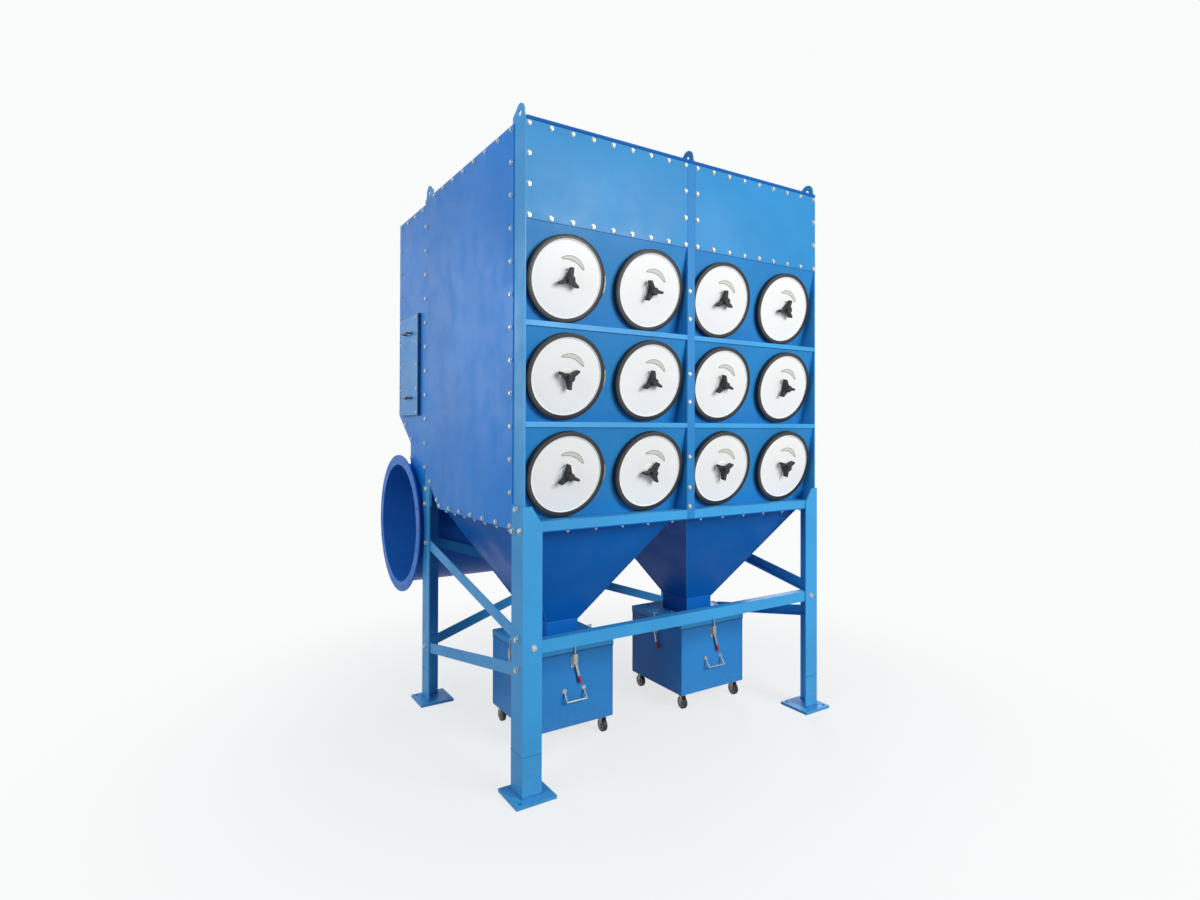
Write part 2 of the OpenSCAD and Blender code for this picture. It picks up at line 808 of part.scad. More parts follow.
// The left and right wheels at the front (-1) or rear (1) of a bin
module wheel_pair(s, sy) {
    edge = 3;
    r = wheel_d / 2;
    h = wheel_w / 2;
    color("#141516")
        translate([s * bay_x, drop_y + sy * caster_y, r])
            for (sx = [-1, 1])
                translate([sx * caster_x, 0, 0]) rotate([0, 90, 0]) rotate_extrude()
                    polygon([
                        [axle_d / 2 + axle_clear, -h], [r - edge, -h], [r, -h + edge],
                        [r, h - edge], [r - edge, h], [axle_d / 2 + axle_clear, h]
                    ]);
}

// ---- Plenum and duct ----

// Side of the plenum and of the neck that runs down onto the duct
module plenum_outline() {
    difference() {
        polygon([
            [box_rear + seat, slope_z1], [neck_y0, slope_z1], [neck_y0, duct_z + neck_lap],
            [neck_y1, duct_z + neck_lap], [neck_y1, neck_z],
            [plenum_y1, plenum_z1], [plenum_y1, plenum_top - sheet_t], [box_rear + seat, plenum_top - sheet_t]
        ]);
        translate([duct_y, duct_z]) circle(r = duct_r + seat, $fn = 128);
    }
}

module plenum_side(hole) {
    difference() {
        along_x(-box_x, sheet_t) plenum_outline();
        if (hole)
            translate([-box_x - cut, access_y - access_w / 2 + 30, box_z0 + access_z - access_h / 2 + 30])
                cube([sheet_t + 2 * cut, access_w - 60, access_h - 60]);
    }
}

plenum_in_x = box_x - sheet_t;

module plenum_back_wall() {
    color("#2f7dc2")
        translate([-plenum_in_x, plenum_y1 - sheet_t, plenum_z1])
            cube([2 * plenum_in_x, sheet_t, plenum_top - sheet_t - plenum_z1]);
}

// Sloping floor with the back of the neck, and the front of the neck
module plenum_floor() {
    t = sheet_t * norm([plenum_slope_run, plenum_slope_drop]) / plenum_slope_run;
    foot = duct_z + sqrt(pow(duct_r + seat, 2) - pow(duct_y - neck_y1, 2));
    color("#24619f")
        along_x(-plenum_in_x, 2 * plenum_in_x) {
            polygon([
                [neck_y1, foot], [neck_y1, neck_z], [plenum_y1, plenum_z1],
                [plenum_y1 - sheet_t, plenum_z1 - seat], [plenum_y1 - sheet_t, plenum_z1 - seat + t],
                [neck_y1 - sheet_t, neck_z + t], [neck_y1 - sheet_t, foot]
            ]);
            polygon([
                [box_rear + seat, slope_z1], [neck_y0, slope_z1], [neck_y0, duct_z + neck_lap],
                [neck_y0 + sheet_t, duct_z + neck_lap], [neck_y0 + sheet_t, slope_z1 + sheet_t],
                [box_rear + seat, slope_z1 + sheet_t]
            ]);
        }
}

// Folded pan over the opening in the plenum's left side
module access_cover() {
    wall = 3;
    color("#5fa5dc")
        translate([-box_x - access_t, access_y - access_w / 2, box_z0 + access_z - access_h / 2])
            difference() {
                cube([access_t, access_w, access_h]);
                translate([wall, wall, wall])
                    cube([access_t, access_w - 2 * wall, access_h - 2 * wall]);
            }
}

module access_handles() {
    w = 120;
    out = 34;
    r = 5;
    inset = 115;
    color("#30343a")
        difference() {
            for (s = [-1, 1])
                translate([-box_x - access_t, access_y, box_z0 + access_z + s * (access_h / 2 - inset)])
                    bail(w, out, 0, r);
            translate([-box_x - access_t, access_y - w, box_z0 + access_z - access_h / 2])
                cube([2 * r, 2 * w, access_h]);
        }
}

// Round duct, open to the neck above it
module air_duct() {
    color("#1f5a9c")
        difference() {
            translate([-duct_half, duct_y, duct_z])
                rotate([0, 90, 0]) cylinder(r = duct_r, h = 2 * duct_half, $fn = 128);
            translate([-duct_half - cut, duct_y, duct_z])
                rotate([0, 90, 0]) cylinder(d = duct_d, h = 2 * (duct_half + cut), $fn = 128);
            translate([-plenum_in_x + cut, neck_y0 + sheet_t, duct_z + neck_open])
                cube([2 * (plenum_in_x - cut), neck_y1 - neck_y0 - 2 * sheet_t, duct_r]);
        }
}

// Flange ring at the open left end, with bolt holes, and one at the closed right end
module duct_flanges() {
    color("#2f86cc")
        for (s = [-1, 1])
            translate([s * duct_half + (s < 0 ? -flange_t : 0), duct_y, duct_z])
                rotate([0, 90, 0])
                    difference() {
                        cylinder(d = flange_d, h = flange_t, $fn = 128);
                        translate([0, 0, -cut]) cylinder(d = duct_d, h = flange_t + 2 * cut, $fn = 128);
                        if (s < 0)
                            for (i = [0:flange_bolts - 1])
                                rotate([0, 0, 360 * i / flange_bolts])
                                    translate([flange_pcd / 2, 0, -cut])
                                        cylinder(d = flange_hole_d, h = flange_t + 2 * cut);
                    }
}

module duct_blank_end() {
    color("#2f7dc2")
        translate([duct_half + flange_t, duct_y, duct_z])
            rotate([0, 90, 0]) cylinder(d = flange_d, h = flange_t, $fn = 128);
}

blue = "#2f86cc";
light_blue = "#5b9fd8";

color(blue) at_corner(-1, -1) leg();  // leg_front_left
color(blue) at_corner(1, -1) leg();  // leg_front_right
color(blue) at_corner(-1, 1) leg();  // leg_rear_left
color(blue) at_corner(1, 1) leg();  // leg_rear_right
front_tie_rail();
side_braces();
rear_cross_braces();
color(blue) at_corner(-1, -1) corner_post(true);  // post_front_left
color(blue) at_corner(1, -1) corner_post(true);  // post_front_right
post_middle();
color(blue) {  // posts_rear
        at_corner(-1, 1) corner_post(false);
        at_corner(1, 1) corner_post(false);
    }
color(light_blue) side_panel();  // side_panel_left
color(light_blue) mirror([1, 0, 0]) side_panel();  // side_panel_right
roof();
color(light_blue) upper_panel();  // upper_panel_left
color(light_blue) mirror([1, 0, 0]) upper_panel();  // upper_panel_right
color(blue) cover_plate();  // cover_plate_left
color(blue) mirror([1, 0, 0]) cover_plate();  // cover_plate_right
shelf_rails();
sill();
bottom_frame();
rear_slope_panel();
hopper(-1);  // hopper_left
hopper(1);  // hopper_right
bin_lids();
color(light_blue) plenum_side(true);  // plenum_side_left
color(light_blue) mirror([1, 0, 0]) plenum_side(false);  // plenum_side_right
plenum_back_wall();
plenum_floor();
access_cover();
access_handles();
air_duct();
duct_flanges();
duct_blank_end();
cartridge_covers();
cover_gaskets();
knob(0, 0);  // knob_1_1
knob(0, 1);  // knob_1_2
knob(0, 2);  // knob_1_3
knob(0, 3);  // knob_1_4
knob(1, 0);  // knob_2_1
knob(1, 1);  // knob_2_2
knob(1, 2);  // knob_2_3
knob(1, 3);  // knob_2_4
knob(2, 0);  // knob_3_1
knob(2, 1);  // knob_3_2
knob(2, 2);  // knob_3_3
knob(2, 3);  // knob_3_4
bin(-1);  // bin_left
bin_fittings(-1);  // bin_fittings_left
casters(-1);  // casters_left
wheel_pair(-1, -1);  // wheels_front_left
wheel_pair(-1, 1);  // wheels_rear_left
bin(1);  // bin_right
bin_fittings(1);  // bin_fittings_right
casters(1);  // casters_right
wheel_pair(1, -1);  // wheels_front_right
wheel_pair(1, 1);  // wheels_rear_right
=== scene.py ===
import math
import random

import bpy
import bmesh
from mathutils import Matrix, Vector


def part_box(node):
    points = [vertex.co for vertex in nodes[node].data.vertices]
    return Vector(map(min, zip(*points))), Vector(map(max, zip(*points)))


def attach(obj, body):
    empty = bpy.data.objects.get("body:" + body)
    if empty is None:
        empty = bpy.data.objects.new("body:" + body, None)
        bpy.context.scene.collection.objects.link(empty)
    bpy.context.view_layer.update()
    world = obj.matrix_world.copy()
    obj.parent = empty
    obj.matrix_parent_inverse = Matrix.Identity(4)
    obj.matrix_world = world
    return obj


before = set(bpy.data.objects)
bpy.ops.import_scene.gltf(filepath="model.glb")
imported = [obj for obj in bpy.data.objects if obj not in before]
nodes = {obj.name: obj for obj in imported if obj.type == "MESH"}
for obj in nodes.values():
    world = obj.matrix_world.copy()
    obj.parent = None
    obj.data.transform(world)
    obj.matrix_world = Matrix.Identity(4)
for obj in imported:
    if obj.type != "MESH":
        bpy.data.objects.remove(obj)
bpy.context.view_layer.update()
rng = random.Random(7)
scene = bpy.context.scene
ROOT = "collector"

# sizes in metres that the frame's boxes don't give
TILT = math.radians(12.5)  # lean of the covers
COLUMNS = (-0.75, -0.25, 0.25, 0.75)
ROWS = (1.500, 1.975, 2.450)
COLUMN_PITCH = 0.5
ROW_PITCH = 0.475
RING_R = 0.2135  # outside of a cover's rubber ring
DISC_H = 0.024  # face of a cover above its plate
KNOB_H = 0.076  # end of a knob above the plate
LEG_X, LEG_Y = 1.0, 0.735  # outer corner of a leg
UPPER_X = 0.985  # outer edge of an upper panel
HOPPER_X, OUTLET_Y = 0.5, -0.075  # middle of a hopper's outlet and of its bin
ROOF_Z = 3.175
PLENUM_DROP = 0.025  # plenum's top below the roof
WHEEL_R = 0.0375
BOLT_PITCH = 0.159
LEFT, RIGHT, FRONT, BACK, DOWN, UP = (-1, 0, 0), (1, 0, 0), (0, -1, 0), (0, 1, 0), (0, 0, -1), (0, 0, 1)

# ---------------------------------------------------------------- camera

cam_data = bpy.data.cameras.new("camera")
cam_data.sensor_fit = "HORIZONTAL"
cam_data.sensor_width = 36.0
cam_data.lens = 20.62
cam_data.shift_x = -0.0160
cam_data.shift_y = -0.0221
cam_data.clip_end = 200
cam = bpy.data.objects.new("camera", cam_data)
scene.collection.objects.link(cam)
cam.matrix_world = (
    Matrix.Translation((-2.3775, -3.6182, 1.7175))
    @ Matrix.Rotation(math.radians(-33.466), 4, "Z")
    @ Matrix.Rotation(math.radians(90.449), 4, "X")
    @ Matrix.Rotation(math.radians(0.145), 4, "Z")
)
scene.camera = cam

# ---------------------------------------------------------------- materials


class Tree:
    """Short way to build a material's nodes."""

    def __init__(self, name):
        self.mat = bpy.data.materials.new(name)
        self.mat.use_nodes = True
        self.nt = self.mat.node_tree
        self.nt.nodes.clear()
        self.out = self.nt.nodes.new("ShaderNodeOutputMaterial")
        self.bsdf = self.nt.nodes.new("ShaderNodeBsdfPrincipled")
        self.nt.links.new(self.bsdf.outputs[0], self.out.inputs[0])
        self.coord = self.nt.nodes.new("ShaderNodeTexCoord").outputs["Object"]

    def node(self, kind, props=None, **inputs):
        n = self.nt.nodes.new(kind)
        for k, v in (props or {}).items():
            setattr(n, k, v)
        for k, v in inputs.items():
            self.put(n.inputs[k.replace("_", " ")], v)
        return n

    def put(self, socket, v):
        if isinstance(v, bpy.types.NodeSocket):
            self.nt.links.new(v, socket)
        else:
            socket.default_value = v

    def noise(self, scale, detail=2.0, rough=0.5, at=None, distortion=0.0):
        n = self.node("ShaderNodeTexNoise", Scale=scale, Detail=detail, Roughness=rough,
                      Distortion=distortion)
        self.put(n.inputs["Vector"], at or self.coord)
        return n.outputs[0]

    def stretched(self, scale, sx, sy, sz):
        m = self.node("ShaderNodeMapping")
        self.put(m.inputs["Vector"], self.coord)
        m.inputs["Scale"].default_value = (sx, sy, sz)
        return self.noise(scale, 3.0, 0.6, at=m.outputs[0])

    def ramp(self, v, lo, hi, a=0.0, b=1.0):
        n = self.node("ShaderNodeMapRange")
        n.interpolation_type = "SMOOTHSTEP"
        for k, x in (("Value", v), ("From Min", lo), ("From Max", hi), ("To Min", a), ("To Max", b)):
            self.put(n.inputs[k], x)
        return n.outputs[0]

    def math(self, op, a, b=0.0):
        n = self.node("ShaderNodeMath", {"operation": op})
        self.put(n.inputs[0], a)
        self.put(n.inputs[1], b)
        return n.outputs[0]

    def off_row(self, v, first, pitch):
        """How far v is from the nearest value of an even row."""
        at = self.math("FLOORED_MODULO", self.math("SUBTRACT", v, first - pitch / 2), pitch)
        return self.math("SUBTRACT", at, pitch / 2)

    def mix(self, f, a, b):
        n = self.node("ShaderNodeMix", {"data_type": "RGBA"})
        self.put(n.inputs[0], f)
        self.put(n.inputs[6], a)
        self.put(n.inputs[7], b)
        return n.outputs[2]

    def height(self, *layers):
        """Bumps from (height, strength, distance) layers, one on top of the other."""
        normal = None
        for h, strength, dist in layers:
            b = self.node("ShaderNodeBump", Strength=strength, Distance=dist, Height=h)
            if normal is not None:
                self.put(b.inputs["Normal"], normal)
            normal = b.outputs[0]
        self.put(self.bsdf.inputs["Normal"], normal)

    def set(self, **kw):
        for k, v in kw.items():
            self.put(self.bsdf.inputs[k.replace("_", " ")], v)
        return self.mat


def rgb(r, g, b):
    """Linear colour from sRGB 0 to 255."""
    def lin(c):
        c /= 255.0
        return c / 12.92 if c <= 0.04045 else ((c + 0.055) / 1.055) ** 2.4
    return (lin(r), lin(g), lin(b), 1.0)


def scaled(c, k):
    return (c[0] * k, c[1] * k, c[2] * k, 1.0)


def paint(name, color, rough=0.40, wave=0.5, dust=0.10, ior=1.33):
    """Sprayed gloss paint on sheet steel: orange peel, slow tone drift, slight waves of the sheet,
    faint runs and handling marks, and a little dust low down."""
    t = Tree(name)
    drift = t.ramp(t.noise(1.7, 3.0, 0.55), 0.3, 0.7)
    col = t.mix(drift, scaled(color, 0.93), scaled(color, 1.06))
    runs = t.ramp(t.stretched(9.0, 1.0, 1.0, 0.09), 0.56, 0.72, 0.0, 0.16)
    col = t.mix(runs, col, scaled(color, 0.78))
    z = t.node("ShaderNodeSeparateXYZ", Vector=t.coord).outputs[2]
    low = t.ramp(z, 0.30, 0.0, 0.0, dust)
    speck = t.ramp(t.noise(55.0, 4.0, 0.7), 0.42, 0.62)
    col = t.mix(t.math("MULTIPLY", low, speck), col, rgb(176, 174, 166))
    scuff = t.ramp(t.stretched(60.0, 0.35, 0.35, 1.6), 0.69, 0.76, 0.0, 0.22)
    col = t.mix(scuff, col, scaled(color, 1.45))
    r = t.ramp(t.noise(6.0, 4.0, 0.6), 0.3, 0.75, rough * 0.85, rough * 1.25)
    r = t.math("ADD", r, t.math("MULTIPLY", scuff, 0.9))
    t.height(
        (t.noise(1.15, 1.0, 0.4, distortion=0.2), wave, 0.05),
        (t.noise(330.0, 2.0, 0.5), 0.10, 0.0006),
    )
    return t.set(Base_Color=col, Roughness=r, Metallic=0.0, Coat_Weight=0.0, Coat_Roughness=0.2, IOR=ior)


def zinc(name="zinc", tone=1.0, rough=0.36):
    t = Tree(name)
    n = t.ramp(t.noise(90.0, 4.0, 0.65), 0.35, 0.65)
    col = t.mix(n, scaled(rgb(205, 205, 198), tone), scaled(rgb(168, 170, 168), tone))
    warm = t.ramp(t.noise(31.0, 2.0, 0.5), 0.58, 0.75, 0.0, 0.35)
    col = t.mix(warm, col, scaled(rgb(190, 178, 140), tone))
    r = t.ramp(t.noise(160.0, 3.0, 0.6), 0.3, 0.7, rough * 0.8, rough * 1.3)
    t.height((t.noise(420.0, 2.0, 0.5), 0.15, 0.0004))
    return t.set(Base_Color=col, Roughness=r, Metallic=0.78)


def rubber(name, color, rough=0.55):
    t = Tree(name)
    n = t.ramp(t.noise(26.0, 4.0, 0.6), 0.35, 0.7)
    col = t.mix(n, color, scaled(color, 1.9))
    dusty = t.ramp(t.noise(7.0, 5.0, 0.7), 0.55, 0.8, 0.0, 0.22)
    col = t.mix(dusty, col, rgb(96, 96, 92))
    t.height((t.noise(700.0, 2.0, 0.6), 0.25, 0.0004), (t.noise(60.0, 2.0, 0.5), 0.08, 0.001))
    return t.set(Base_Color=col, Roughness=t.ramp(n, 0.0, 1.0, rough * 0.9, rough * 1.15))


def plastic(name, color, rough=0.4):
    t = Tree(name)
    n = t.ramp(t.noise(40.0, 3.0, 0.55), 0.3, 0.7)
    col = t.mix(n, color, scaled(color, 1.35))
    t.height((t.noise(900.0, 1.0, 0.5), 0.3, 0.0003))
    return t.set(Base_Color=col, Roughness=t.ramp(n, 0.0, 1.0, rough * 0.85, rough * 1.2), Coat_Weight=0.15,
                 Coat_Roughness=0.25)


def enamel(name, color, rough=0.3, rimmed=False):
    """White baked paint on the round covers, with fine peel, faint smudges and a dark outer rim."""
    t = Tree(name)
    n = t.ramp(t.noise(4.0, 4.0, 0.6), 0.35, 0.7)
    col = t.mix(n, color, scaled(color, 0.975))
    smudge = t.ramp(t.noise(13.0, 5.0, 0.75), 0.62, 0.82, 0.0, 0.13)
    col = t.mix(smudge, col, rgb(176, 174, 168))
    if rimmed:
        face_drop = 0.005  # the leaning face stands a little below its centre on the plate
        rim_r = 0.191
        p = t.node("ShaderNodeSeparateXYZ", Vector=t.coord)
        dx = t.off_row(p.outputs[0], COLUMNS[0], COLUMN_PITCH)
        dz = t.off_row(p.outputs[2], ROWS[0] - face_drop, ROW_PITCH)
        dv = t.math("DIVIDE", dz, math.cos(TILT))
        r2 = t.math("ADD", t.math("MULTIPLY", dx, dx), t.math("MULTIPLY", dv, dv))
        col = t.mix(t.ramp(t.math("SQRT", r2), rim_r - 0.0015, rim_r + 0.0015), col, rgb(40, 42, 46))
    t.height((t.noise(300.0, 2.0, 0.5), 0.10, 0.0006))
    return t.set(Base_Color=col, Roughness=t.ramp(n, 0.0, 1.0, rough, rough * 1.3), Coat_Weight=0.25,
                 Coat_Roughness=0.12)


m_frame = paint("paint_frame", rgb(63, 164, 226))
m_plate = paint("paint_plate", rgb(38, 134, 202))
m_panel = paint("paint_panel", rgb(16, 136, 226), rough=0.36, wave=0.9, ior=1.25)
m_upper = paint("paint_upper", rgb(34, 142, 206), rough=0.36, wave=1.0, ior=1.40)
# roof paint darker than the rest: painted shade, so that its front lip reads as the shadow line under it
m_roof_shaded = paint("paint_roof_painted_shade", rgb(20, 100, 182), ior=1.2)
m_access = paint("paint_access", rgb(44, 152, 222), rough=0.36, wave=0.6, ior=1.30)
m_bin = paint("paint_bin", rgb(54, 144, 217), ior=1.25)
m_duct = paint("paint_duct", rgb(44, 124, 218), ior=1.25)
# blue paint darker than the rest: painted shade on the hoppers, bottom frame, rear slope panel and plenum
# floor, which sit low and face down under the box
m_low_parts_shaded = paint("paint_hopper_painted_shade", rgb(8, 107, 194), rough=0.42, ior=1.2)
m_weld = paint("paint_weld", rgb(30, 122, 192), rough=0.45, wave=0.1)
m_zinc = zinc()
m_latch = zinc("latch_steel", 0.92, 0.32)
m_caster = zinc("caster_steel", 0.55, 0.42)
m_white = enamel("cover_enamel", rgb(252, 252, 250), rimmed=True)
# crescents: greyer white and a darker edge, as painted shade on the covers' dished middles
m_crescent_shade = enamel("cover_painted_shade_crescent", rgb(216, 216, 202), 0.45)
m_crescent_shade_edge = enamel("cover_painted_shade_crescent_edge", rgb(150, 150, 146), 0.5)
m_gasket = rubber("gasket_rubber", rgb(24, 25, 28))
m_wheel = rubber("wheel_rubber", rgb(16, 16, 18), 0.5)
m_knob = plastic("knob_plastic", rgb(5, 5, 6), 0.6)
m_handle = plastic("handle_black", rgb(30, 31, 34), 0.35)
m_red = plastic("grip_red", rgb(168, 26, 54), 0.45)
# dark navy strips: painted shade, laid into gaps and joints that are in shadow
m_shade_strip = rubber("painted_shade_strip", rgb(20, 40, 78), 0.5)

BY_NAME = {}
for mat, names in (
    (m_panel, ("side_panel_left", "side_panel_right", "plenum_side_left", "plenum_side_right",
               "plenum_back_wall")),
    (m_low_parts_shaded, ("hopper_left", "hopper_right", "bottom_frame", "rear_slope_panel", "plenum_floor")),
    (m_plate, ("cover_plate_left", "cover_plate_right", "post_middle")),
    (m_upper, ("upper_panel_left", "upper_panel_right")),
    (m_bin, ("bin_left", "bin_right")),
    (m_roof_shaded, ("roof",)),
    (m_access, ("access_cover",)),
    (m_duct, ("air_duct", "duct_flanges", "duct_blank_end")),
):
    BY_NAME.update(dict.fromkeys(names, mat))
BY_PREFIX = (
    ("knob_", m_knob), ("wheels_", m_wheel), ("cover_gaskets", m_gasket), ("cartridge_covers", m_white),
    ("bin_fittings", m_latch), ("casters", m_caster), ("access_handles", m_handle),
)


def node_material(name):
    if name in BY_NAME:
        return BY_NAME[name]
    for prefix, mat in BY_PREFIX:
        if name.startswith(prefix):
            return mat
    return m_frame


BEVELS = {"knob_": 0.0022, "leg_": 0.0012, "front_tie": 0.0012, "side_braces": 0.0012, "rear_cross": 0.0012,
          "bin_left": 0.0008, "bin_right": 0.0008, "access_cover": 0.0010, "duct_": 0.0010,
          "cartridge": 0.0010, "cover_gaskets": 0.0015, "post_": 0.0010, "posts_": 0.0010}
for name, ob in nodes.items():
    ob.data.materials.clear()
    ob.data.materials.append(node_material(name))
    for prefix, width in BEVELS.items():
        if name.startswith(prefix):
            mod = ob.modifiers.new("edges", "BEVEL")
            mod.width = width
            mod.segments = 2
            mod.limit_method = "ANGLE"
            mod.angle_limit = math.radians(40)
            mod.use_clamp_overlap = True
            mod.harden_normals = False

# ---------------------------------------------------------------- geometry helpers


def add(name, bm, mat, body=ROOT, smooth_deg=None):
    """A new piece from a bmesh, riding on a CAD body."""
    me = bpy.data.meshes.new(name)
    bm.to_mesh(me)
    bm.free()
    me.materials.append(mat)
    if smooth_deg is not None:
        me.shade_smooth()
        me.set_sharp_from_angle(angle=math.radians(smooth_deg))
    ob = bpy.data.objects.new(name, me)
    scene.collection.objects.link(ob)
    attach(ob, body)
    return ob


def basis(normal, spin=0.0):
    """Rotation that takes +Z to normal, spun about it."""
    q = Vector((0, 0, 1)).rotation_difference(Vector(normal))
    return q.to_matrix().to_4x4() @ Matrix.Rotation(spin, 4, "Z")


def polar(r, a, z=0.0):
    return Vector((r * math.cos(a), r * math.sin(a), z))


def lathe(bm, profile, seg, matrix, flip=False):
    """Turned surface from (r, z) points about local Z."""
    rings = []
    for r, z in profile:
        if r < 1e-6:
            rings.append([bm.verts.new(matrix @ Vector((0, 0, z)))])
        else:
            rings.append([bm.verts.new(matrix @ polar(r, 2 * math.pi * i / seg, z)) for i in range(seg)])
    for a, b in zip(rings, rings[1:]):
        for i in range(seg):
            j = (i + 1) % seg
            if len(a) == 1:
                loop = [a[0], b[i], b[j]]
            elif len(b) == 1:
                loop = [a[i], b[0], a[j]]
            else:
                loop = [a[i], b[i], b[j], a[j]]
            bm.faces.new(loop[::-1] if flip else loop)


def hex_bolt(bm, pos, normal, size=1.0, nut=False):
    """Hex head on a washer, seated on a surface at pos."""
    m = Matrix.Translation(pos) @ basis(normal, rng.uniform(0, math.pi / 3))
    s = 0.001 * size
    lathe(bm, [(13.0 * s, 0), (13.0 * s, 1.8 * s), (12.2 * s, 2.5 * s), (9.0 * s, 2.5 * s)], 20, m, flip=True)
    r = 10.6 * s
    loops = []
    for k, z in ((1.0, 2.4), (1.0, 8.2), (0.86, 9.6), (0.45, 10.0)):
        loops.append([bm.verts.new(m @ polar(k * r, math.pi * i / 3, z * s)) for i in range(6)])
    for a, b in zip(loops, loops[1:]):
        for i in range(6):
            j = (i + 1) % 6
            bm.faces.new([a[i], a[j], b[j], b[i]])
    bm.faces.new(loops[-1])
    if nut:
        lathe(bm, [(5.6 * s, 9.6 * s), (5.6 * s, 15.5 * s), (4.8 * s, 16.4 * s), (0, 16.4 * s)], 14, m,
              flip=True)


def bolts(name, places, body=ROOT, size=1.0, nut=False):
    """places: list of (position, normal)."""
    bm = bmesh.new()
    for p, n in places:
        hex_bolt(bm, Vector(p), n, size, nut)
    return add(name, bm, m_zinc, body, smooth_deg=28)


def span(a, b, pitch):
    """Values from a to b, both included, about pitch apart."""
    n = max(1, round(abs(b - a) / pitch))
    return [a + (b - a) * i / n for i in range(n + 1)]


def bead(bm, points, r, ripple, step):
    """Rippled weld bead along a polyline."""
    pts = []
    for a, b in zip(points, points[1:]):
        a, b = Vector(a), Vector(b)
        n = max(1, int((b - a).length / step))
        pts += [a.lerp(b, i / n) for i in range(n)]
    pts.append(Vector(points[-1]))
    seg = 6
    prev = None
    for k, p in enumerate(pts):
        d = (pts[min(k + 1, len(pts) - 1)] - pts[max(k - 1, 0)]).normalized()
        side = d.orthogonal().normalized() if abs(d.z) > 0.9 else d.cross(Vector((0, 0, 1))).normalized()
        up = side.cross(d)
        rr = r * (1 + ripple * math.sin(k * 2.1) + 0.08 * rng.uniform(-1, 1))
        turns = [2 * math.pi * i / seg for i in range(seg)]
        ring = [bm.verts.new(p + rr * (math.cos(a) * side + math.sin(a) * up)) for a in turns]
        if prev:
            for i in range(seg):
                j = (i + 1) % seg
                bm.faces.new([prev[i], prev[j], ring[j], ring[i]])
        else:
            bm.faces.new(ring[::-1])
        prev = ring
    bm.faces.new(prev)


def welds(name, lines, r=0.0035, body=ROOT, ripple=0.18, step=0.009):
    bm = bmesh.new()
    for ln in lines:
        bead(bm, ln, r, ripple, step)
    bmesh.ops.recalc_face_normals(bm, faces=bm.faces)
    return add(name, bm, m_weld, body, smooth_deg=60)


def block(bm, lo, hi):
    vs = bmesh.ops.create_cube(bm, size=1.0)["verts"]
    c = (Vector(lo) + Vector(hi)) / 2
    d = Vector(hi) - Vector(lo)
    for v in vs:
        v.co = Vector((v.co.x * d.x, v.co.y * d.y, v.co.z * d.z)) + c


def box(n):
    lo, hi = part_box(n)
    return Vector(lo), Vector(hi)


# ---------------------------------------------------------------- measures from the frame

side_lo, side_hi = box("side_panel_left")
panel_x = -side_lo.x
box_z0, box_top = side_lo.z, side_hi.z
up_lo, up_hi = box("upper_panel_left")
front_y = up_lo.y
pl_lo, pl_hi = box("plenum_side_left")
plenum_x = -pl_lo.x
wall_lo, wall_hi = box("plenum_back_wall")
acc_lo, acc_hi = box("access_cover")
duct_lo, duct_hi = box("air_duct")
duct_y = (duct_lo.y + duct_hi.y) / 2
duct_z = (duct_lo.z + duct_hi.z) / 2
duct_r = (duct_hi.z - duct_lo.z) / 2
blank_lo, blank_hi = box("duct_blank_end")
lid_lo, lid_hi = box("bin_lids")
bin_rim = box("bin_left")[1].z
recess_y = box("cover_gaskets")[1].y - RING_R * math.sin(TILT)

# ---------------------------------------------------------------- bolts on the box

SLOPE_RUN, SLOPE_RISE = 0.267, 0.225  # cut-off lower rear corner of a side panel
for tag, s in (("left", -1), ("right", 1)):
    n = (s, 0, 0)
    x = s * panel_x
    y_f, y_r = side_lo.y + 0.023, side_hi.y - 0.018
    z_low, z_top = box_z0 + 0.017, box_top - 0.020
    slope_y, slope_z = side_hi.y - SLOPE_RUN, box_z0 + SLOPE_RISE
    at = [((x, y_f, z), n) for z in span(z_low, z_top, BOLT_PITCH)]
    at += [((x, y, z_top), n) for y in span(y_f, y_r, 0.160)[1:]]
    at += [((x, y_r, z), n) for z in span(slope_z + 0.012, z_top, 0.156)[:-1]]
    at += [((x, y, z_low), n) for y in span(y_f, slope_y - 0.02, BOLT_PITCH)[1:]]
    for k in (0.13, 0.60):
        at.append(((x, slope_y + SLOPE_RUN * k - 0.012, box_z0 + SLOPE_RISE * k + 0.018), n))
    bolts("bolts_side_" + tag, at)

    # plenum side: edges, and the neck
    x = s * plenum_x
    y_r, z_top, knee_z = pl_hi.y - 0.030, pl_hi.z - 0.022, 1.84
    at = [((x, y_r, z), n) for z in span(z_top, knee_z, 0.156)]
    at += [((x, y, z_top), n) for y in span(pl_lo.y + 0.045, y_r, 0.160)[:-1]]
    for k in (0.5, 1.0):
        p = Vector((0, y_r, knee_z)).lerp(Vector((0, 1.005, 1.650)), k)
        at.append(((x, p.y, p.z), n))
    at.append(((x, 1.008, 1.52), n))
    bolts("bolts_plenum_" + tag, at)

# upper front panels
at = []
x0, x1 = 0.041, 0.972
for s in (-1, 1):
    for x in span(x1, x0, 0.118):
        for z in (up_lo.z + 0.016, up_hi.z - 0.028):
            at.append(((s * x, front_y, z), FRONT))
    for z in (2.858, 3.002):
        for x in (x0, x1):
            at.append(((s * x, front_y, z), FRONT))
bolts("bolts_upper_panels", at)

# middle post
at = [((-0.010, front_y, z), FRONT) for z in (2.463, 2.312, 2.015, 1.864, 1.568, 1.402, 1.300)]
bolts("bolts_middle_post", at, size=0.9)

# sill: bolts that stand down through the hopper's flange
hop_z = box_z0 - 0.006
at = []
for s in (-1, 1):
    for x in span(0.10, 0.90, 0.160):
        for y in (-0.6900, 0.443):
            at.append(((s * x, y, hop_z), DOWN))
    for y in span(-0.52, 0.38, 0.160):
        at.append(((s * 0.970, y, hop_z), DOWN))
bolts("bolts_hopper_flange", at, nut=True, size=0.9)

